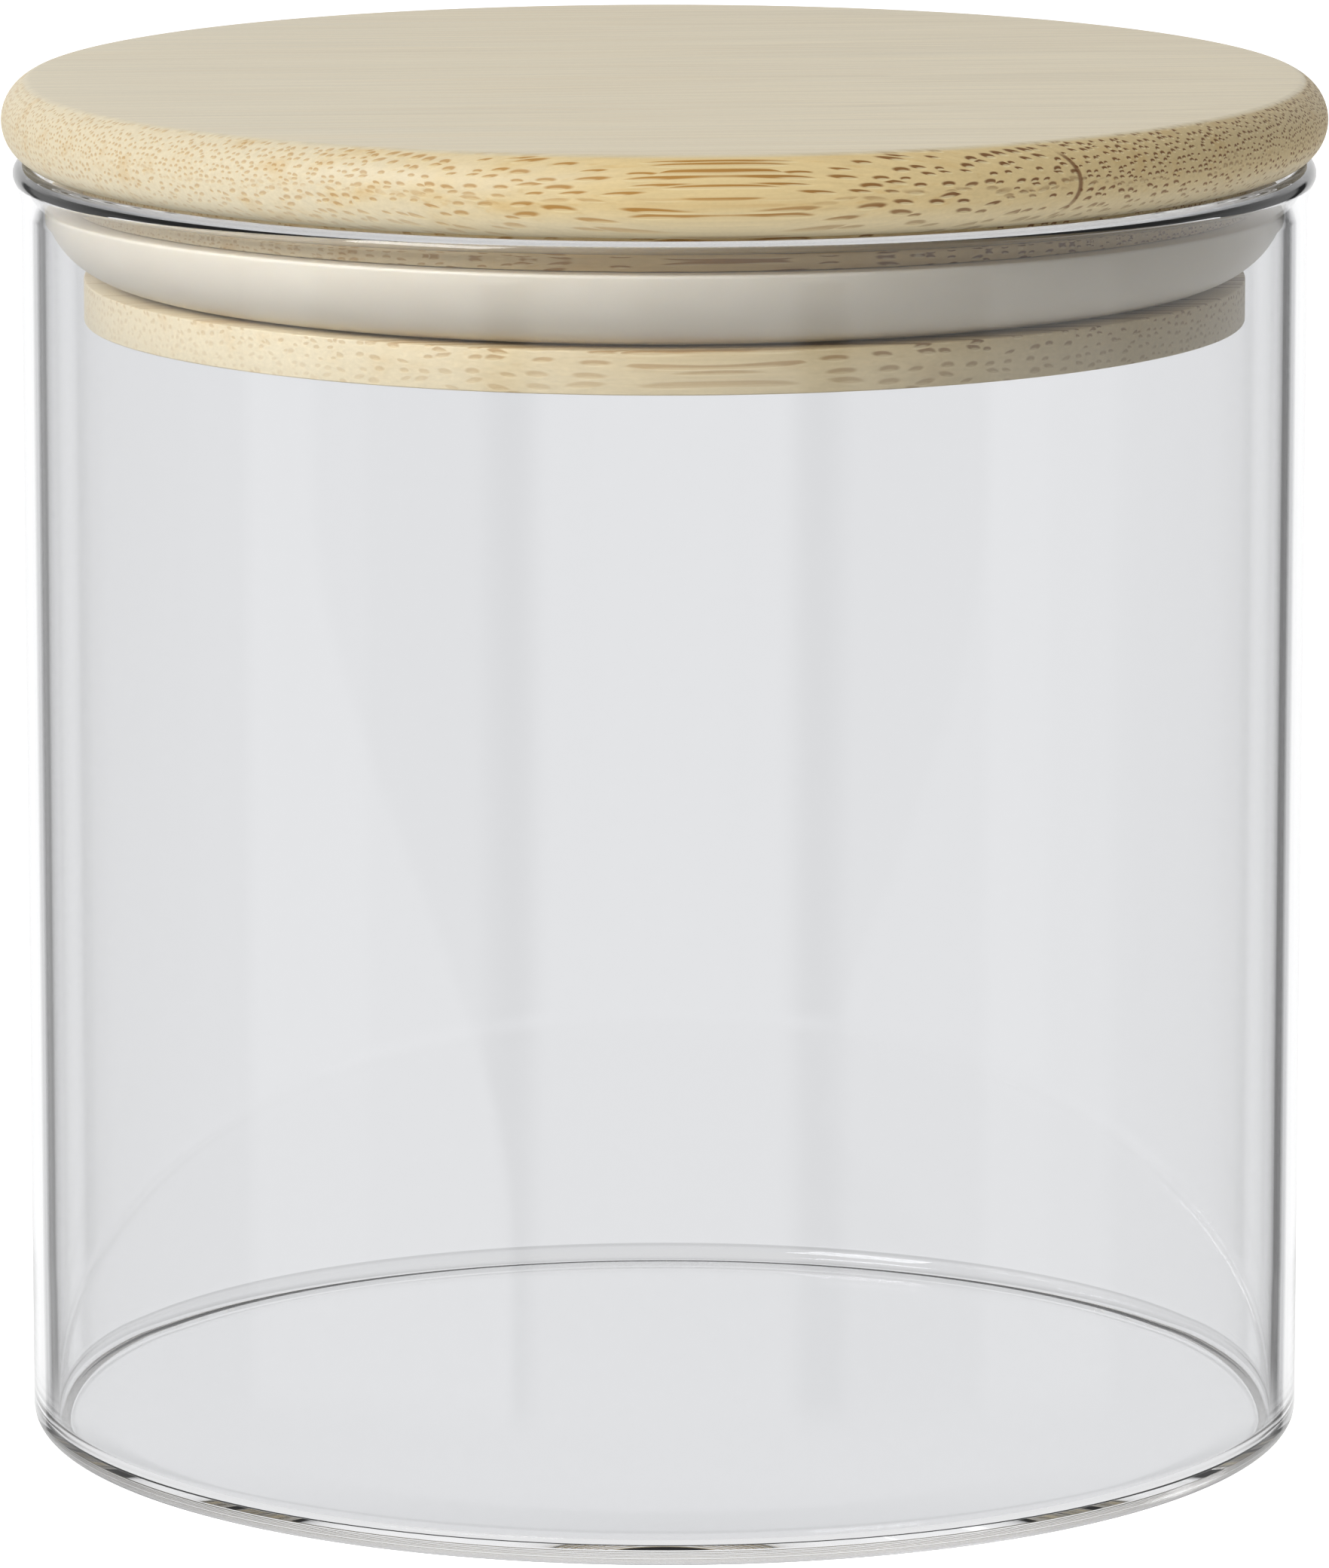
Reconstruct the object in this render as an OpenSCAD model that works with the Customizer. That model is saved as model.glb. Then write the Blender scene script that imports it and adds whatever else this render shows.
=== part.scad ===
// Lidded glass canister: a thin-walled glass jar, a bamboo lid made of a disc
// glued to a grooved plug, and a soft silicone ring in the plug's groove.
// Millimetres, +Z up. The origin is the middle of the base, on the surface
// that the jar stands on.

/* [Jar] */
// Outside diameter of the glass wall
jar_d = 100; // [80:1:130]
// Height of the glass, from the base to the top of the rim
jar_h = 100.2; // [60:0.1:200]
// Thickness of the glass wall
wall = 1.8; // [1.2:0.1:2.5]
// Thickness of the glass floor
floor_t = 1.3; // [1.2:0.1:4]
// Outside radius of the rounded heel, where the wall meets the floor
heel_r = 1.5; // [1:0.1:3.5]
// Inside radius where the wall meets the floor
cove_r = 1.4; // [1:0.1:4]
// How high the middle of the base is pushed up
push_up = 0.3; // [0.2:0.1:1]
// How far the rim turns outwards
flare = 0.65; // [0.3:0.05:1]
// Height over which the rim turns outwards
flare_h = 3.6; // [3:0.1:6]

/* [Lid disc] */
// How far the disc reaches past the straight glass wall
overhang = 1.5; // [1.2:0.1:3]
// Thickness of the disc
disc_t = 6.2; // [5:0.1:10]
// How far the disc's rounded edge stands out past its flat faces
edge_depth = 2.1; // [1.5:0.1:2.4]
// Gap between the rim and the disc, with the lid on
rim_gap = 0.15; // [0.1:0.05:0.5]

/* [Lid plug] */
// Gap between the plug and the inside of the glass
plug_gap = 3; // [2:0.1:4]
// Thickness of the flange below the groove
flange_t = 3.3; // [2.5:0.1:5]
// Height of the groove
groove_h = 6.2; // [5:0.1:6.5]
// Depth of the groove
groove_depth = 4; // [2.5:0.1:5]
// Height of the land between the groove and the disc
land_t = 2.65; // [2:0.05:4]

/* [Seal ring] */
// Play between the ring and what it touches
seal_fit = 0.05; // [0.02:0.01:0.1]
// Radius of the arc that the ring's lip follows, from the flange out to the glass
lip_arc_r = 6.6; // [6:0.1:10]

/* [Hidden] */
$fn = 180;

// Radii
jar_r = jar_d / 2;
bore_r = jar_r - wall;
disc_r = jar_r + overhang;
plug_r = bore_r - plug_gap;
groove_r = plug_r - groove_depth;

// Heights
disc_z = jar_h + rim_gap;
land_z = disc_z - land_t;
groove_z = land_z - groove_h;
flange_z = groove_z - flange_t;
flare_z = jar_h - flare_h;

// The rim's middle line is an arc that starts straight up and leans out
lip_rise = flare_h - wall / 2;
flare_arc_r = (lip_rise * lip_rise + flare * flare) / (2 * flare);
flare_angle = asin(lip_rise / flare_arc_r);

// The disc's edge is one arc from the top face to the bottom face
edge_arc_r = (disc_t * disc_t / 4 + edge_depth * edge_depth) / (2 * edge_depth);

// The pushed-up base is part of a large sphere inside the ring that it stands on
stand_ring_w = 4;
push_up_r = jar_r - heel_r - stand_ring_w;
push_up_arc_r = (push_up_r * push_up_r + push_up * push_up) / (2 * push_up);
push_up_fn = 2880;

// The seal ring fills the groove, and its lip swells out to reach the glass at the top
seal_h = groove_h - 2 * seal_fit;
seal_z = groove_z + seal_fit;
seal_r = bore_r - seal_fit;
seal_bore_r = groove_r + seal_fit;
lip_over = lip_arc_r - seal_h;
lip_reach = sqrt(lip_arc_r * lip_arc_r - lip_over * lip_over);
lip_at = max(seal_r - lip_reach, seal_bore_r + 0.2);

// Half section of a round pot, from the axis out, with its lower corner rounded
module pot_section(r, h, corner_r) {
    square([r - corner_r, h]);
    translate([0, corner_r]) square([r, h - corner_r]);
    translate([r - corner_r, corner_r]) circle(corner_r);
}

// Half section of the shallow dome that the base is pushed up into
module dome_section() {
    intersection() {
        translate([0, push_up - push_up_arc_r]) circle(push_up_arc_r, $fn = push_up_fn);
        square([push_up_r, push_up]);
    }
}

// Half section of the glass below the rim
module wall_section() {
    difference() {
        pot_section(jar_r, flare_z, heel_r);
        translate([0, floor_t]) pot_section(bore_r, flare_z, cove_r);
        dome_section();
    }
    translate([0, floor_t]) dome_section();
}

// Half section of the rim: a wall that leans out, and its round lip
module rim_section() {
    translate([jar_r - wall / 2 + flare_arc_r, flare_z]) {
        intersection() {
            difference() {
                circle(flare_arc_r + wall / 2);
                circle(flare_arc_r - wall / 2);
            }
            polygon([
                [0, 0],
                [-2 * flare_arc_r, 0],
                [-2 * flare_arc_r, 2 * flare_arc_r * tan(flare_angle)]
            ]);
        }
    }
    translate([jar_r - wall / 2 + flare, jar_h - wall / 2]) circle(wall / 2);
}

// The jar, one piece of glass
module glass_jar() {
    color("lightcyan", 0.35) rotate_extrude() {
        wall_section();
        rim_section();
    }
}

// The disc that covers the rim, with a bull-nosed edge
module lid_disc() {
    color("burlywood") translate([0, 0, disc_z]) rotate_extrude() {
        square([disc_r - edge_depth, disc_t]);
        intersection() {
            translate([disc_r - edge_arc_r, disc_t / 2]) circle(edge_arc_r);
            square([disc_r + 1, disc_t]);
        }
    }
}

// The plug that hangs in the mouth: flange, groove and land
module lid_plug() {
    color("tan") translate([0, 0, flange_z]) rotate_extrude() {
        square([plug_r, flange_t]);
        square([groove_r, flange_t + groove_h + land_t]);
        translate([0, flange_t + groove_h]) square([plug_r, land_t]);
    }
}

// The soft ring: square where it sits in the groove, with a lip that swells outwards
module seal_ring() {
    color("ivory") translate([0, 0, seal_z]) rotate_extrude() intersection() {
        union() {
            translate([lip_at, lip_arc_r]) circle(lip_arc_r);
            translate([seal_bore_r, 0]) square([lip_at - seal_bore_r, lip_arc_r]);
        }
        translate([seal_bore_r, 0]) square([seal_r - seal_bore_r, seal_h]);
    }
}

glass_jar();
lid_disc();
lid_plug();
seal_ring();
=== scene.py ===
"""Looks for a lidded glass canister: a thin glass jar, a turned bamboo lid in two glued layers,
and a soft silicone ring in the lid's groove. Metres, Z up, the jar standing at the origin."""

import math

import bpy
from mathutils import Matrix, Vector


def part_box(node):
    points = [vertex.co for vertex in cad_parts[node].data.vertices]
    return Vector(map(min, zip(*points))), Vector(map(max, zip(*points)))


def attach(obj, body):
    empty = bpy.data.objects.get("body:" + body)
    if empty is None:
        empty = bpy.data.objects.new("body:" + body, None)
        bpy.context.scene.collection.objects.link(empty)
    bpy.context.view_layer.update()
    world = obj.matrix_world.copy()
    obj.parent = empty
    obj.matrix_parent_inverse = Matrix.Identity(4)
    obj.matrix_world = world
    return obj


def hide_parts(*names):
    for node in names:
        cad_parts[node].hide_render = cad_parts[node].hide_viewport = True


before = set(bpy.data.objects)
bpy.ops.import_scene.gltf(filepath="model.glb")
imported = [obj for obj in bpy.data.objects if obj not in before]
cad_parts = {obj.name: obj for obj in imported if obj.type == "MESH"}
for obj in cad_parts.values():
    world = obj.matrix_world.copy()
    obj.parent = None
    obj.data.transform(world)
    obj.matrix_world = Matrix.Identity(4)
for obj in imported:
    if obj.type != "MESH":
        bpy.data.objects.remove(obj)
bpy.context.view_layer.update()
MM = 0.001

# ---- Sizes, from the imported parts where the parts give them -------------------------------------

JAR_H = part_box("glass_jar")[1][2]
DISC_LOW, DISC_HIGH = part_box("lid_disc")
PLUG_LOW, PLUG_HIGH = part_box("lid_plug")
SEAL_LOW, SEAL_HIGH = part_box("seal_ring")

WALL = 1.8 * MM
JAR_R = 50.0 * MM
BORE_R = JAR_R - WALL
FLOOR_T = 1.3 * MM
HEEL_R = 1.5 * MM
COVE_R = 1.4 * MM
PUSH_UP = 0.3 * MM
PUSH_UP_R = JAR_R - HEEL_R - 4 * MM
FLARE = 0.65 * MM
FLARE_H = 3.6 * MM

DISC_R = JAR_R + 1.5 * MM
DISC_T = DISC_HIGH[2] - DISC_LOW[2]
EDGE_DEPTH = 2.1 * MM

PLUG_T = PLUG_HIGH[2] - PLUG_LOW[2]
PLUG_R = BORE_R - 3 * MM
GROOVE_R = PLUG_R - 4 * MM
FLANGE_T = 3.3 * MM
GROOVE_H = 6.2 * MM

SEAL_FIT = 0.05 * MM
SEAL_R = BORE_R - SEAL_FIT
LIP_ARC_R = 6.6 * MM

# How far the turned corners are eased
DISC_EASE = 0.18 * MM
PLUG_EASE = 0.12 * MM
RING_EASE = 0.25 * MM

# ---- Camera -------------------------------------------------------------------------------------

SENSOR = 36.0
LENS = 245.7
EYE = (0.0, -0.8272, 0.2045)
LOOK_DOWN = 0.184
NEAREST_SEEN = 0.01


def set_up_camera():
    """A long lens in front of the jar, looking a little down on it."""
    data = bpy.data.cameras.new("camera")
    data.sensor_width = SENSOR
    data.lens = LENS
    data.clip_start = NEAREST_SEEN
    camera = bpy.data.objects.new("camera", data)
    camera.location = EYE
    camera.rotation_euler = (math.pi / 2 - LOOK_DOWN, 0, 0)
    bpy.context.scene.collection.objects.link(camera)
    bpy.context.scene.camera = camera


# ---- Turning: an outline drawn point by point and spun about the jar's axis ----------------------

SAME_POINT = 0.002 * MM
WOOD_TURNS = 384
GLASS_TURNS = 512


def arc(centre_r, centre_z, radius, start, end, steps):
    """Points (r, z) along an arc, angles in degrees from the outward direction."""
    turns = [math.radians(start + (end - start) * i / steps) for i in range(steps + 1)]
    return [(centre_r + radius * math.cos(a), centre_z + radius * math.sin(a)) for a in turns]


def upright(r, start, end, count=8):
    """Evenly spaced points (r, z) on a straight wall between the heights start and end."""
    return [(r, start + (end - start) * i / count) for i in range(1, count)]


def turned(name, outline, closed=False, steps=WOOD_TURNS):
    """A solid of revolution. The outline runs anticlockwise, seen with the axis on its left."""
    bpy.ops.object.select_all(action="DESELECT")
    first = Vector((outline[0][0], 0, outline[0][1]))
    bpy.ops.mesh.primitive_plane_add(size=MM, location=first)
    piece = bpy.context.object
    piece.name = name
    piece.data.name = name
    # The plane shrinks to the outline's first point
    bpy.ops.object.mode_set(mode="EDIT")
    bpy.ops.mesh.select_mode(type="VERT")
    bpy.ops.mesh.select_all(action="SELECT")
    bpy.ops.mesh.merge(type="CENTER")
    route = outline[1:] + ([outline[0]] if closed else [])
    here = outline[0]
    for point in route:
        step = (point[0] - here[0], 0, point[1] - here[1])
        bpy.ops.mesh.extrude_region_move(TRANSFORM_OT_translate={"value": step})
        here = point
    bpy.ops.mesh.select_all(action="SELECT")
    bpy.ops.mesh.remove_doubles(threshold=SAME_POINT)
    bpy.ops.mesh.spin(steps=steps, angle=2 * math.pi, center=(0, 0, 0), axis=(0, 0, 1))
    bpy.ops.mesh.select_all(action="SELECT")
    bpy.ops.mesh.remove_doubles(threshold=SAME_POINT)
    bpy.ops.mesh.normals_make_consistent(inside=False)
    bpy.ops.object.mode_set(mode="OBJECT")
    bpy.ops.object.transform_apply(location=True, rotation=True, scale=True)
    return piece


def soften_edges(piece, width):
    """Takes the sharpness off the turned corners and shades the rest smooth."""
    bpy.ops.object.select_all(action="DESELECT")
    piece.select_set(True)
    bpy.context.view_layer.objects.active = piece
    bevel = piece.modifiers.new("softened edge", "BEVEL")
    bevel.width = width
    bevel.segments = 3
    bevel.limit_method = "ANGLE"
    bevel.angle_limit = math.radians(15)
    bpy.ops.object.modifier_apply(modifier=bevel.name)
    bpy.ops.object.shade_smooth_by_angle(angle=math.radians(35))


# ---- The four pieces ----------------------------------------------------------------------------


def pushed_up_base():
    """The shallow dome under the jar, from its middle out to where the base starts to stand."""
    radius = (PUSH_UP_R**2 + PUSH_UP**2) / (2 * PUSH_UP)
    rings = [PUSH_UP_R * i / 6 for i in range(7)]
    return [(r, PUSH_UP - radius + math.sqrt(radius**2 - r**2)) for r in rings]


def make_jar():
    """The jar: pushed-up base, small heel, straight wall, turned-out rim with a round lip."""
    dome = pushed_up_base()
    # The middle of the wall leans out along an arc that starts upright at flare_z
    flare_z = JAR_H - FLARE_H
    rise = FLARE_H - WALL / 2
    flare_r = (rise**2 + FLARE**2) / (2 * FLARE)
    lean = math.degrees(math.asin(rise / flare_r))
    flare_centre = JAR_R - WALL / 2 + flare_r
    outside = dome + arc(JAR_R - HEEL_R, HEEL_R, HEEL_R, -90, 0, 14)
    outside += upright(JAR_R, HEEL_R, flare_z)
    outside += arc(flare_centre, flare_z, flare_r - WALL / 2, 180, 180 - lean, 14)
    lip_r = JAR_R - WALL / 2 + FLARE
    lip = arc(lip_r, JAR_H - WALL / 2, WALL / 2, -lean, 180 - lean, 18)
    inside = arc(flare_centre, flare_z, flare_r + WALL / 2, 180 - lean, 180, 14)[1:]
    inside += upright(BORE_R, flare_z, FLOOR_T + COVE_R)
    inside += arc(BORE_R - COVE_R, FLOOR_T + COVE_R, COVE_R, 0, -90, 14)
    inside += [(r, z + FLOOR_T) for r, z in reversed(dome)]
    jar = turned("blown_glass_jar", outside + lip[1:] + inside, steps=GLASS_TURNS)
    bpy.ops.object.shade_smooth()
    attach(jar, "jar")
    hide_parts("glass_jar")
    jar.visible_shadow = False
    return jar


def make_disc():
    """The lid's disc: flat faces and one arc round the edge, meeting the top in a soft crease."""
    low, high = DISC_LOW[2], DISC_HIGH[2]
    half = DISC_T / 2
    edge_r = (half**2 + EDGE_DEPTH**2) / (2 * EDGE_DEPTH)
    sweep = math.degrees(math.asin(half / edge_r))
    flat_r = DISC_R - EDGE_DEPTH
    rings = [0.35, 0.7, 0.92]
    outline = [(0, low)] + [(flat_r * k, low) for k in rings]
    outline += arc(DISC_R - edge_r, low + half, edge_r, -sweep, sweep, 26)
    outline += [(flat_r * k, high) for k in reversed(rings)] + [(0, high)]
    disc = turned("bamboo_lid_disc", outline)
    soften_edges(disc, DISC_EASE)
    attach(disc, "lid")
    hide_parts("lid_disc")
    return disc


def make_plug():
    """The lid's plug: flange, groove and land, with lightly eased corners."""
    low, high = PLUG_LOW[2], PLUG_HIGH[2]
    groove_low = low + FLANGE_T
    groove_high = groove_low + GROOVE_H
    outline = [(0, low), (PLUG_R * 0.5, low), (PLUG_R * 0.9, low)]
    outline += [(PLUG_R, low), (PLUG_R, groove_low)]
    outline += [(GROOVE_R, groove_low), (GROOVE_R, groove_high)]
    outline += [(PLUG_R, groove_high), (PLUG_R, high), (0, high)]
    plug = turned("bamboo_lid_plug", outline)
    soften_edges(plug, PLUG_EASE)
    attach(plug, "lid")
    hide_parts("lid_plug")
    return plug


def make_ring():
    """The silicone ring: square in the groove, its lip swelling out to the glass."""
    low, high = SEAL_LOW[2], SEAL_HIGH[2]
    over = LIP_ARC_R - (high - low)
    lip_at = SEAL_R - math.sqrt(LIP_ARC_R**2 - over**2)
    end = -math.degrees(math.asin(over / LIP_ARC_R))
    bore = GROOVE_R + SEAL_FIT
    outline = [(bore, low)]
    outline += arc(lip_at, low + LIP_ARC_R, LIP_ARC_R, -90, end, 28)
    outline += [(bore, high)]
    ring = turned("silicone_seal_ring", outline, closed=True)
    soften_edges(ring, RING_EASE)
    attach(ring, "seal")
    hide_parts("seal_ring")
    return ring


# ---- Shader helpers -----------------------------------------------------------------------------


class Nodes:
    """A node tree with short ways to add the nodes that the patterns are made of."""

    def __init__(self, tree):
        self.tree = tree

    def add(self, kind, **settings):
        node = self.tree.nodes.new("ShaderNode" + kind)
        for key, value in settings.items():
            setattr(node, key, value)
        return node

    def feed(self, socket, value):
        """Links the socket to another node's output, or sets it to a constant."""
        if hasattr(value, "is_output"):
            self.tree.links.new(value, socket)
        elif value is not None:
            socket.default_value = value

    def math(self, operation, a, b=None, c=None):
        node = self.add("Math", operation=operation)
        for socket, value in zip(node.inputs, (a, b, c)):
            self.feed(socket, value)
        return node.outputs[0]

    def vector(self, operation, a, b=None, scale=None):
        node = self.add("VectorMath", operation=operation)
        self.feed(node.inputs[0], a)
        self.feed(node.inputs[1], b)
        if scale is not None:
            self.feed(node.inputs["Scale"], scale)
        return node.outputs["Value" if operation == "LENGTH" else "Vector"]

    def split(self, vector):
        node = self.add("SeparateXYZ")
        self.feed(node.inputs[0], vector)
        return node.outputs

    def join(self, x, y, z):
        node = self.add("CombineXYZ")
        for socket, value in zip(node.inputs, (x, y, z)):
            self.feed(socket, value)
        return node.outputs[0]

    def ramp(self, value, start, end, low=0.0, high=1.0):
        """A smooth step from low to high as value goes from start to end."""
        node = self.add("MapRange", interpolation_type="SMOOTHSTEP")
        for socket, given in zip(node.inputs, (value, start, end, low, high)):
            self.feed(socket, given)
        return node.outputs[0]

    def mix(self, share, a, b):
        """Colour a, with this share of colour b in its place."""
        node = self.add("Mix", data_type="RGBA")
        self.feed(node.inputs["Factor"], share)
        for name, value in (("A", a), ("B", b)):
            socket = next(s for s in node.inputs if s.name == name and s.type == "RGBA")
            self.feed(socket, value)
        return next(s for s in node.outputs if s.type == "RGBA")

    def noise(self, vector, scale=1.0, detail=2.0, roughness=0.5):
        node = self.add("TexNoise")
        self.feed(node.inputs["Vector"], vector)
        self.feed(node.inputs["Scale"], scale)
        self.feed(node.inputs["Detail"], detail)
        self.feed(node.inputs["Roughness"], roughness)
        return node.outputs


def new_group(name, inputs, outputs):
    """A node group with the named sockets: its tree wrapped, and its two end nodes."""
    tree = bpy.data.node_groups.new(name, "ShaderNodeTree")
    for label, kind, value in inputs:
        socket = tree.interface.new_socket(
            label, in_out="INPUT", socket_type="NodeSocket" + kind)
        socket.default_value = value
    for label, kind in outputs:
        tree.interface.new_socket(label, in_out="OUTPUT", socket_type="NodeSocket" + kind)
    start = tree.nodes.new("NodeGroupInput")
    end = tree.nodes.new("NodeGroupOutput")
    return Nodes(tree), start.outputs, end


def linear(red, green, blue):
    """A display colour, 0 to 255, as the linear colour that shaders take."""
    parts = [c / 255 for c in (red, green, blue)]
    parts = [c / 12.92 if c < 0.04045 else ((c + 0.055) / 1.055) ** 2.4 for c in parts]
    return tuple(parts) + (1,)


# ---- Bamboo -------------------------------------------------------------------------------------

GRAIN_TURN = math.radians(5)

# What a piece of bamboo is told about itself. Lengths are millimetres, but for the layer's top
BAMBOO_INPUTS = [
    ("Layer Top", "Float", 0.1),
    ("Layer Thickness", "Float", 6.0),
    ("Grain Turn", "Float", 0.0),
    ("Shift", "Vector", (0, 0, 0)),
    ("Front Strip Edge", "Float", -43.8),
    ("Front Spacing", "Float", 1.5),
    ("Main Spacing", "Float", 0.9),
    ("Bundle Contrast", "Float", 1.0),
    ("Open Glue Line", "Float", 0.85),
    ("Sanded Face", "Float", 1.0),
    ("Ground", "Color", (0.7, 0.6, 0.4, 1)),
    ("Warm", "Color", (0.6, 0.4, 0.15, 1)),
    ("Cap", "Color", (0.2, 0.1, 0.03, 1)),
    ("Core", "Color", (0.85, 0.75, 0.5, 1)),
    ("Golden Cap", "Color", (0.5, 0.35, 0.1, 1)),
    # Pale: the paler bottom of a layer, and the painted sheen at the left end
    ("Pale And Sheen", "Color", (0.8, 0.75, 0.6, 1)),
    # Face: the sanded top's colour, greyed with a painted sheen
    ("Face", "Color", (0.6, 0.55, 0.42, 1)),
]
BAMBOO_OUTPUTS = [("Color", "Color"), ("Roughness", "Float"), ("Height", "Float")]

# How fast each pattern changes along the grain, across it and upwards, per millimetre
WANDER_PACE = (0.018, 0.06, 0.06)
PATCH_PACE = (0.03, 0.35, 0.6)
FIBRE_PACE = (0.03, 3.2, 3.2)
DRIFT_PACE = (0.006, 0.5, 0.5)
DASH_PACE = (0.09, 2.3, 2.3)
SPECK_PACE = (2.5, 5.0, 5.0)
LINE_PACE = (0.02, 1.3, 1.3)

# How far the bundles wander from a straight line, in millimetres
WANDER_ACROSS = 3.0
WANDER_UP = 2.0

# Parts of a fibre bundle: (how far it sits above the bundle's middle, width, height), in bundles
CAP_SHAPE = (0.25, 1.0, 0.95)
CORE_SHAPE = (-0.35, 0.75, 0.6)
SCATTER = 0.72
OPEN_TWIST = 1.6
CLOSE_TWIST = 1.2

# Close-set bundles against the open ones: how far apart and how big
CLOSE_SPACING = 0.72
CLOSE_SIZE = 0.78

# Reach of what happens at depths into the layer: 0 is its top, 1 its bottom
CROWDED_DEPTHS = (0.62, 0.4)
FAINT_DEPTHS = (0.6, 0.95)
PALE_DEPTHS = (0.55, 0.95)
GLUE_LINE_TOP = (0.1, 0.2)
GLUE_LINE_FOOT = (0.9, 0.65)

# Reach of the sanded face below the top, in millimetres, and how much of the pattern it hides
FACE_DEPTHS = (0.28, 0.06)
FACE_HIDES = 0.88

# Reach of what changes along the grain, in millimetres from the jar's axis
# Paler towards the left end: partly the wood's own tone, partly painted sheen from the light on the
# left
PALE_AND_SHEEN_END = (12.0, -22.0)
# Darker towards the right end: partly painted shade away from the key light, partly darker wood
SHADE_AND_BROWN_END = (6.0, 46.0)
DARK_CAP_END = (-4.0, 20.0)
GLUE_LINE_END = (8.0, 14.0)
GLUE_LINE_WIDTH = (0.16, 0.05)

BUMP_STRENGTH = 0.35
BUMP_HEIGHT = 0.12 * MM
BAMBOO_IOR = 1.45


def bundle_layer(n, y, z, spacing, size, twist):
    """Fibre bundles cut across, in millimetres: the masks of their caps and of their cores."""
    place = n.join(n.math("DIVIDE", y, spacing), n.math("DIVIDE", z, spacing), 0.0)
    cells = n.add("TexVoronoi", voronoi_dimensions="2D", feature="F1")
    n.feed(cells.inputs["Vector"], place)
    n.feed(cells.inputs["Scale"], 1.0)
    n.feed(cells.inputs["Randomness"], SCATTER)
    off_middle = n.vector("SUBTRACT", place, cells.outputs["Position"])
    away = n.vector("SCALE", off_middle, None, spacing)
    chance = n.split(cells.outputs["Color"])
    across, up = n.split(away)[0], n.split(away)[1]
    slant = n.math("MULTIPLY", n.math("SUBTRACT", chance[1], 0.5), twist)
    across = n.math("MULTIPLY_ADD", up, slant, across)
    big = n.math("MULTIPLY", size, n.math("MULTIPLY_ADD", chance[0], 0.6, 0.7))

    def blob(lift, wide, tall):
        dx = n.math("DIVIDE", across, n.math("MULTIPLY", big, wide))
        rise = n.math("SUBTRACT", up, n.math("MULTIPLY", big, lift))
        dz = n.math("DIVIDE", rise, n.math("MULTIPLY", big, tall))
        return n.vector("LENGTH", n.join(dx, dz, 0.0))

    cap = n.ramp(blob(*CAP_SHAPE), 1.0, 0.55)
    core = n.ramp(blob(*CORE_SHAPE), 1.0, 0.5)
    return cap, core


def grain_place(n, given):
    """The place in millimetres, turned to the grain, and how deep in the layer it lies."""
    place = n.add("TexCoord").outputs["Object"]
    turn = n.add("VectorRotate", rotation_type="Z_AXIS")
    n.feed(turn.inputs["Vector"], n.vector("SCALE", place, None, 1 / MM))
    n.feed(turn.inputs["Angle"], n.math("MULTIPLY", given["Grain Turn"], -1.0))
    grain = turn.outputs[0]
    height = n.split(grain)[2]
    below_top = n.math("SUBTRACT", n.math("MULTIPLY", given["Layer Top"], 1 / MM), height)
    depth = n.math("DIVIDE", below_top, given["Layer Thickness"])
    return grain, below_top, depth


def bundles(n, given, shifted, side, depth):
    """All fibre bundles. The strip at the front has large, open ones and the one behind it
    small, close ones, and both crowd together towards the top of the layer."""
    wander = n.noise(n.vector("MULTIPLY", shifted, WANDER_PACE), 1.0, 1.0)["Color"]
    sway = n.split(n.vector("SUBTRACT", wander, (0.5, 0.5, 0.5)))
    y = n.math("MULTIPLY_ADD", sway[0], WANDER_ACROSS, n.split(shifted)[1])
    z = n.math("MULTIPLY_ADD", sway[1], WANDER_UP, n.split(shifted)[2])

    behind = n.math("GREATER_THAN", side, given["Front Strip Edge"])
    closer_by = n.math("SUBTRACT", given["Main Spacing"], given["Front Spacing"])
    spacing = n.math("MULTIPLY_ADD", closer_by, behind, given["Front Spacing"])
    size = n.math("MULTIPLY_ADD", spacing, 0.27, 0.03)
    open_cap, open_core = bundle_layer(n, y, z, spacing, size, OPEN_TWIST)
    tight = n.math("MULTIPLY", spacing, CLOSE_SPACING)
    small = n.math("MULTIPLY", size, CLOSE_SIZE)
    close_cap, close_core = bundle_layer(n, y, z, tight, small, CLOSE_TWIST)

    patchy = n.noise(n.vector("MULTIPLY", shifted, PATCH_PACE), 1.0, 1.0)["Fac"]
    edge = n.math("MULTIPLY_ADD", n.math("SUBTRACT", patchy, 0.5), 0.5, depth)
    crowded = n.ramp(edge, *CROWDED_DEPTHS)
    sparse = n.math("SUBTRACT", 1.0, crowded)
    cap = n.math("MAXIMUM", n.math("MULTIPLY", open_cap, sparse),
                 n.math("MULTIPLY", close_cap, crowded))
    core = n.math("MAXIMUM", n.math("MULTIPLY", open_core, sparse),
                  n.math("MULTIPLY", close_core, crowded))
    return cap, core


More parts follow.
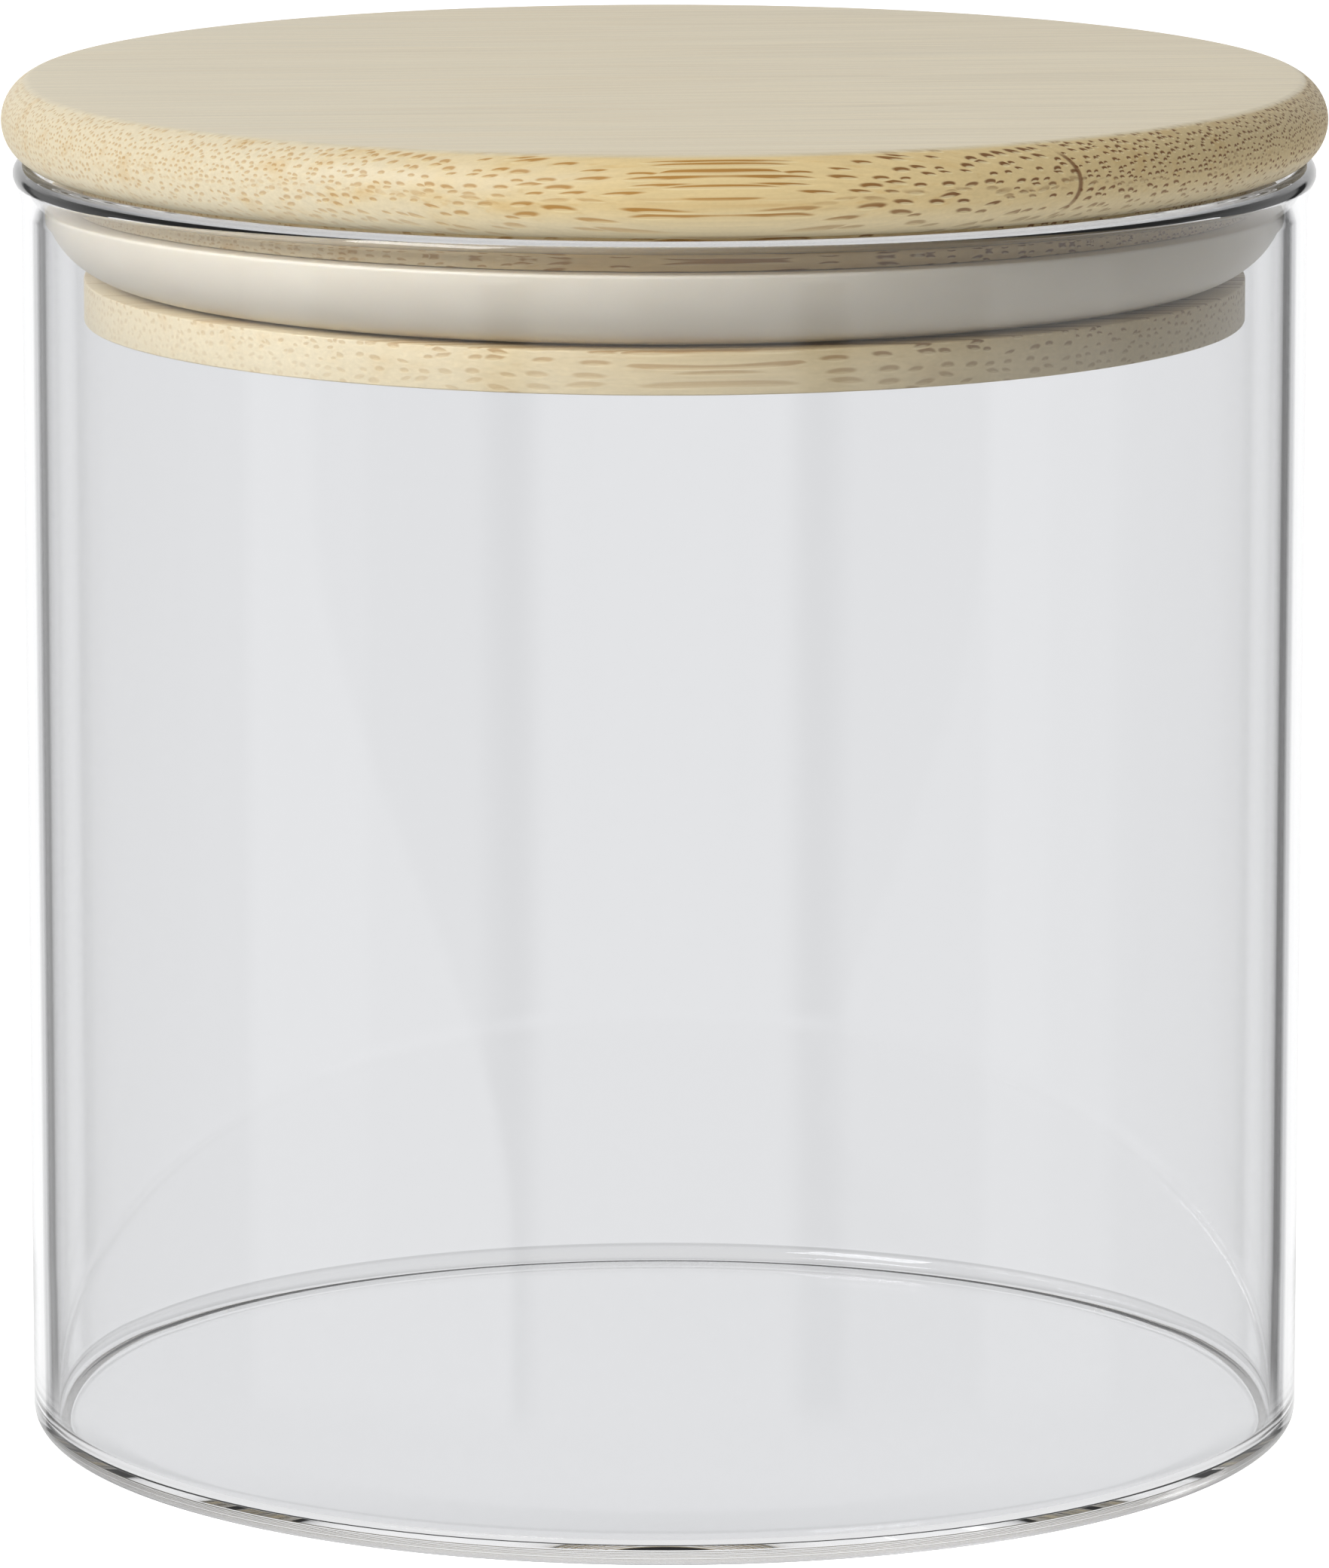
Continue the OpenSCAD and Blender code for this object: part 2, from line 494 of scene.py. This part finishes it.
def ground_colour(n, given, shifted, along, depth, face, fibre, drift):
    """The tissue between the bundles: its colour, and how far it is on the pale end's side, which is
    partly the wood's own tone and partly painted sheen.
    """
    dash = n.noise(n.vector("MULTIPLY", shifted, DASH_PACE), 1.0, 2.0)["Fac"]
    speck = n.noise(n.vector("MULTIPLY", shifted, SPECK_PACE), 1.0, 2.0)["Fac"]
    edge_wood = n.math("SUBTRACT", 1.0, face)
    # Slow drifts of warmth, and a few short warm dashes
    warmth = n.math("MULTIPLY", n.ramp(drift, 0.52, 0.75), 0.28)
    warmth = n.math("MULTIPLY_ADD", n.ramp(dash, 0.6, 0.75), 0.22, warmth)
    warmth = n.math("MULTIPLY_ADD", edge_wood, 0.12, warmth)
    # Paler towards the left end: partly the wood's own tone, partly painted sheen from the light on
    # that side
    paler_and_sheen = n.ramp(n.math("MULTIPLY_ADD", drift, 30.0, along), *PALE_AND_SHEEN_END)
    tone = n.mix(paler_and_sheen, given["Ground"], given["Pale And Sheen"])
    tone = n.mix(warmth, tone, given["Warm"])
    tone = n.mix(n.ramp(depth, *PALE_DEPTHS, 0.0, 0.5), tone, given["Pale And Sheen"])
    # The sanded top takes the Face colour, which carries a painted sheen
    tone = n.mix(n.math("MULTIPLY", face, FACE_HIDES), tone, given["Face"])
    # Fine fibres and specks, and long lines on the sanded face
    line = n.noise(n.vector("MULTIPLY", shifted, LINE_PACE), 1.0, 3.0, 0.65)["Fac"]
    line = n.math("MULTIPLY", n.math("SUBTRACT", line, 0.5), face)
    shade = n.math("MULTIPLY_ADD", n.math("SUBTRACT", fibre, 0.5), 0.26, 1.0)
    shade = n.math("MULTIPLY_ADD", n.math("SUBTRACT", speck, 0.5), 0.12, shade)
    shade = n.math("MULTIPLY_ADD", line, 0.34, shade)
    # The right end is darker: partly painted shade, away from the key light, and partly its darker
    # wood
    shade_and_browner = n.math("MULTIPLY", n.ramp(along, *SHADE_AND_BROWN_END), edge_wood)
    shade = n.math("MULTIPLY_ADD", shade_and_browner, -0.24, shade)
    return n.vector("SCALE", tone, None, shade), paler_and_sheen


def opened_glue_line(n, given, along, side, depth):
    """Where the glue line between the two strips has opened a little at one end."""
    off_line = n.math("ABSOLUTE", n.math("SUBTRACT", side, given["Front Strip Edge"]))
    opened = n.math("MULTIPLY", n.ramp(along, *GLUE_LINE_END), n.ramp(off_line, *GLUE_LINE_WIDTH))
    opened = n.math("MULTIPLY", opened, n.ramp(depth, *GLUE_LINE_TOP))
    opened = n.math("MULTIPLY", opened, n.ramp(depth, *GLUE_LINE_FOOT))
    return n.math("MULTIPLY", opened, given["Open Glue Line"])


def bamboo_group():
    """Bamboo cut in any direction: fibre bundles run along the grain in paler ground tissue, and
    crowd together towards the outer side of each layer, which faces up."""
    n, given, out = new_group("bamboo", BAMBOO_INPUTS, BAMBOO_OUTPUTS)
    grain, below_top, depth = grain_place(n, given)
    along, side, _ = n.split(grain)
    shifted = n.vector("ADD", grain, given["Shift"])
    cap, core = bundles(n, given, shifted, side, depth)

    # A sanded face shows the bundles only as faint lines, and they fade towards the bottom
    face = n.math("MULTIPLY", n.ramp(below_top, *FACE_DEPTHS), given["Sanded Face"])
    shown = n.math("MULTIPLY_ADD", face, -FACE_HIDES, 1.0)
    shown = n.math("MULTIPLY", shown, given["Bundle Contrast"])
    shown = n.math("MULTIPLY", shown, n.ramp(depth, *FAINT_DEPTHS, 1.0, 0.4))

    fibre = n.noise(n.vector("MULTIPLY", shifted, FIBRE_PACE), 1.0, 3.0, 0.6)["Fac"]
    drift = n.noise(n.vector("MULTIPLY", shifted, DRIFT_PACE), 1.0, 2.0)["Fac"]
    tone, paler_and_sheen = ground_colour(n, given, shifted, along, depth, face, fibre, drift)

    # Bundles are golden at the pale end and dark at the other, and fainter under the painted sheen
    # at the pale end
    darker = n.mix(n.ramp(along, *DARK_CAP_END), given["Golden Cap"], given["Cap"])
    shown = n.math("MULTIPLY", shown, n.math("MULTIPLY_ADD", paler_and_sheen, -0.5, 1.0))
    tone = n.mix(n.math("MULTIPLY", cap, n.math("MULTIPLY", shown, 0.95)), tone, darker)
    tone = n.mix(n.math("MULTIPLY", core, n.math("MULTIPLY", shown, 0.6)), tone, given["Core"])
    opened = opened_glue_line(n, given, along, side, depth)
    tone = n.mix(opened, tone, given["Cap"])

    shown_cap = n.math("MULTIPLY", cap, shown)
    smoother = n.math("MULTIPLY_ADD", face, -0.07, 0.4)
    rough = n.math("MULTIPLY_ADD", fibre, 0.16, smoother)
    rough = n.math("MULTIPLY_ADD", shown_cap, 0.12, rough)
    relief = n.math("MULTIPLY", shown_cap, -0.6)
    relief = n.math("MULTIPLY_ADD", fibre, 0.25, relief)
    relief = n.math("SUBTRACT", relief, opened)
    n.feed(out.inputs["Color"], tone)
    n.feed(out.inputs["Roughness"], rough)
    n.feed(out.inputs["Height"], relief)
    return n.tree


# ---- Materials ----------------------------------------------------------------------------------


def new_material(name):
    """A material, with its tree wrapped, and its Principled shader."""
    material = bpy.data.materials.new(name)
    material.use_nodes = True
    nodes = Nodes(material.node_tree)
    shader = next(s for s in material.node_tree.nodes if s.type == "BSDF_PRINCIPLED")
    return material, nodes, shader


def bamboo(name, group, values):
    """Bamboo with this layer's own grain."""
    material, n, shader = new_material(name)
    grain = n.add("Group")
    grain.node_tree = group
    for key, value in values.items():
        grain.inputs[key].default_value = value
    bump = n.add("Bump")
    bump.inputs["Strength"].default_value = BUMP_STRENGTH
    bump.inputs["Distance"].default_value = BUMP_HEIGHT
    n.feed(bump.inputs["Height"], grain.outputs["Height"])
    n.feed(shader.inputs["Base Color"], grain.outputs["Color"])
    n.feed(shader.inputs["Roughness"], grain.outputs["Roughness"])
    n.feed(shader.inputs["Normal"], bump.outputs["Normal"])
    shader.inputs["IOR"].default_value = BAMBOO_IOR
    return material


def disc_bamboo(group):
    """The disc: one board with a sanded face, its glue line near the front edge."""
    return bamboo("bamboo_disc", group, {
        "Layer Top": DISC_HIGH[2],
        "Layer Thickness": DISC_T / MM,
        "Grain Turn": GRAIN_TURN,
        "Shift": (3.0, 11.3, 4.1),
        "Front Strip Edge": -43.8,
        "Front Spacing": 0.84,
        "Main Spacing": 0.64,
        "Sanded Face": 1.0,
        "Ground": linear(225, 203, 152),
        # The paler bottom of the layer, and the painted sheen at the left end
        "Pale And Sheen": linear(224, 214, 186),
        "Warm": linear(200, 158, 84),
        "Cap": linear(112, 70, 28),
        "Golden Cap": linear(172, 122, 46),
        # The sanded top's colour, greyed with a painted sheen
        "Face": linear(212, 200, 171),
        "Core": linear(240, 224, 176),
    })


def plug_bamboo(group):
    """The plug: another board, with no sanded face showing."""
    return bamboo("bamboo_plug", group, {
        "Layer Top": PLUG_HIGH[2],
        "Layer Thickness": PLUG_T / MM,
        "Grain Turn": GRAIN_TURN,
        "Shift": (40.0, 27.7, 9.6),
        "Front Strip Edge": -36.0,
        "Front Spacing": 0.95,
        "Main Spacing": 0.72,
        "Sanded Face": 0.0,
        "Open Glue Line": 0.12,
        "Ground": linear(220, 199, 152),
        # The paler bottom of the layer, and the painted sheen at the left end
        "Pale And Sheen": linear(222, 211, 182),
        "Warm": linear(200, 160, 96),
        "Cap": linear(120, 80, 36),
        "Golden Cap": linear(166, 124, 62),
        "Face": linear(214, 200, 166),
        "Core": linear(240, 226, 186),
    })


def clear_glass():
    """Clear glass, a trace less clear to red than to blue."""
    material, _, shader = new_material("clear_glass")
    shader.inputs["Base Color"].default_value = (0.874, 0.878, 0.888, 1)
    shader.inputs["Roughness"].default_value = 0.0
    shader.inputs["IOR"].default_value = 1.47
    shader.inputs["Transmission Weight"].default_value = 1.0
    return material


def silicone():
    """Satin off-white silicone that lets a little light through."""
    material, n, shader = new_material("silicone")
    place = n.add("TexCoord").outputs["Object"]
    bloom = n.noise(place, 180.0, 3.0)["Fac"]
    tone = n.mix(bloom, linear(221, 213, 196), linear(230, 223, 208))
    n.feed(shader.inputs["Base Color"], tone)
    n.feed(shader.inputs["Roughness"], n.math("MULTIPLY_ADD", bloom, 0.14, 0.38))
    shader.inputs["IOR"].default_value = 1.41
    shader.inputs["Subsurface Weight"].default_value = 0.25
    shader.inputs["Subsurface Radius"].default_value = (1.0, 0.85, 0.6)
    shader.inputs["Subsurface Scale"].default_value = 1.5 * MM
    return material


# ---- Studio -------------------------------------------------------------------------------------

# Light round the horizon: (bearing in degrees from the front, going round by the right, light)
HORIZON = [
    (0, 0.84), (22, 0.84), (26, 0.25), (31, 0.25), (34, 0.66), (59, 0.68), (60, 0.95), (88, 0.95),
    (89, 0.75), (136, 0.73), (146, 0.5), (148.5, 0.06), (154, 0.06), (155.5, 0.95), (161, 1.1),
    (172, 1.0), (180, 1.02), (188, 1.0), (199, 1.12), (204.5, 1.0), (206, 0.18), (210.5, 0.18),
    (213, 0.5), (224, 0.73), (276, 0.75), (300, 0.7), (326, 0.66), (329, 0.25), (334, 0.25),
    (338, 0.84),
]

# The left card starts at one bearing and ends at another, which is further round at its foot
LEFT_CARD = 1.0
CARD_START = 280
CARD_END = 296
CARD_FOOT_END = 334
CARD_BLUR = 0.008

ROOM = 0.36
BACK_WALL = 1.0
CEILING = 0.54
BELOW_CARDS = 0.76
TABLE = 0.92

# Where one light gives way to the next, as the steepness of the direction: -1 is straight down
# and 1 straight up. The room turns into the back wall over how far back the direction points
WALL_STARTS = (0.02, 0.12)
CEILING_STARTS = (0.5, 0.75)
CARD_FOOT = (-0.155, -0.225)
CARDS_END = (-0.246, -0.262)
TABLE_STARTS = (-0.29, -0.37)
BACK_WALL_STARTS = (0.1, 0.95)

KEY_PLACE = (-0.58, -0.58, 0.60)
KEY_AIM = (0, 0, 0.09)
KEY_SIZE = 0.42
KEY_POWER = 5.7

FLOOR_SIZE = 12
FLOOR_BELOW = 0.1 * MM


def grey(value):
    return (value, value, value, 1)


def horizon_cards(n, bearing):
    """Light near the horizon, as a ramp round the compass."""
    round_ramp = n.add("ValToRGB")
    ramp = round_ramp.color_ramp
    ramp.interpolation = "LINEAR"
    ramp.elements.remove(ramp.elements[0])
    ramp.elements[0].position = HORIZON[0][0] / 360
    ramp.elements[0].color = grey(HORIZON[0][1])
    for angle, light in HORIZON[1:]:
        ramp.elements.new(angle / 360).color = grey(light)
    n.feed(round_ramp.inputs[0], bearing)
    return round_ramp.outputs[0]


def left_card(n, bearing, z):
    """Where the left card stands. It widens in a curve towards its foot."""
    end = n.ramp(z, *CARD_FOOT, CARD_END / 360, CARD_FOOT_END / 360)
    past_start = n.math("GREATER_THAN", bearing, CARD_START / 360)
    before_end = n.ramp(n.math("SUBTRACT", end, bearing), 0.0, CARD_BLUR)
    return n.math("MULTIPLY", past_start, before_end)


def studio_light():
    """The room: white to the eye. For light, cards and dark gaps stand round the horizon, with a
    bright wall behind and a soft ceiling above them, and a pale table below."""
    world = bpy.data.worlds.new("studio")
    bpy.context.scene.world = world
    world.use_nodes = True
    n = Nodes(world.node_tree)
    world.node_tree.nodes.clear()
    x, y, z = n.split(n.add("TexCoord").outputs["Generated"])
    # 0 straight in front of the jar, 0.5 straight behind it, going round by the right
    bearing = n.math("ARCTAN2", x, n.math("MULTIPLY", y, -1.0))
    bearing = n.math("FRACT", n.math("ADD", n.math("DIVIDE", bearing, 2 * math.pi), 1.0))
    light = horizon_cards(n, bearing)
    light = n.mix(left_card(n, bearing, z), light, grey(LEFT_CARD))
    wall = n.ramp(y, *BACK_WALL_STARTS, ROOM, BACK_WALL)
    light = n.mix(n.ramp(z, *WALL_STARTS), light, n.join(wall, wall, wall))
    light = n.mix(n.ramp(z, *CEILING_STARTS), light, grey(CEILING))
    light = n.mix(n.ramp(z, *CARDS_END), light, grey(BELOW_CARDS))
    light = n.mix(n.ramp(z, *TABLE_STARTS), light, grey(TABLE))
    light = n.mix(n.add("LightPath").outputs["Is Camera Ray"], light, grey(1.0))
    background = n.add("Background")
    n.feed(background.inputs["Color"], light)
    output = n.add("OutputWorld")
    world.node_tree.links.new(background.outputs[0], output.inputs[0])


def key_light():
    """A square softbox, high in front on the left, that faces the lid."""
    data = bpy.data.lights.new("key", "AREA")
    data.shape = "SQUARE"
    data.size = KEY_SIZE
    data.energy = KEY_POWER
    lamp = bpy.data.objects.new("key", data)
    lamp.location = KEY_PLACE
    facing = Vector(KEY_AIM) - Vector(KEY_PLACE)
    lamp.rotation_euler = facing.to_track_quat("-Z", "Y").to_euler()
    bpy.context.scene.collection.objects.link(lamp)


def lay_floor():
    """The pale table. Only the eye sees it, so that the glass isn't lit from below by it."""
    bpy.ops.object.select_all(action="DESELECT")
    bpy.ops.mesh.primitive_plane_add(size=FLOOR_SIZE, location=(0, 0, -FLOOR_BELOW))
    floor = bpy.context.object
    floor.name = "floor"
    material, _, shader = new_material("floor")
    shader.inputs["Base Color"].default_value = (0.9, 0.9, 0.9, 1)
    shader.inputs["Roughness"].default_value = 0.9
    shader.inputs["Specular IOR Level"].default_value = 0.0
    shader.inputs["Emission Color"].default_value = (1, 1, 1, 1)
    shader.inputs["Emission Strength"].default_value = 0.75
    floor.data.materials.append(material)
    floor.visible_diffuse = False
    floor.visible_glossy = False
    floor.visible_transmission = False


def set_up_studio():
    studio_light()
    lay_floor()
    key_light()
    scene = bpy.context.scene
    scene.view_settings.view_transform = "Standard"
    # Light that runs inside the rim and the heel needs many turns to get out
    scene.cycles.max_bounces = 40
    scene.cycles.transmission_bounces = 32
    scene.cycles.glossy_bounces = 32


# ---- Build --------------------------------------------------------------------------------------

set_up_camera()
jar = make_jar()
disc = make_disc()
plug = make_plug()
ring = make_ring()

grain = bamboo_group()
jar.data.materials.append(clear_glass())
disc.data.materials.append(disc_bamboo(grain))
plug.data.materials.append(plug_bamboo(grain))
ring.data.materials.append(silicone())
set_up_studio()
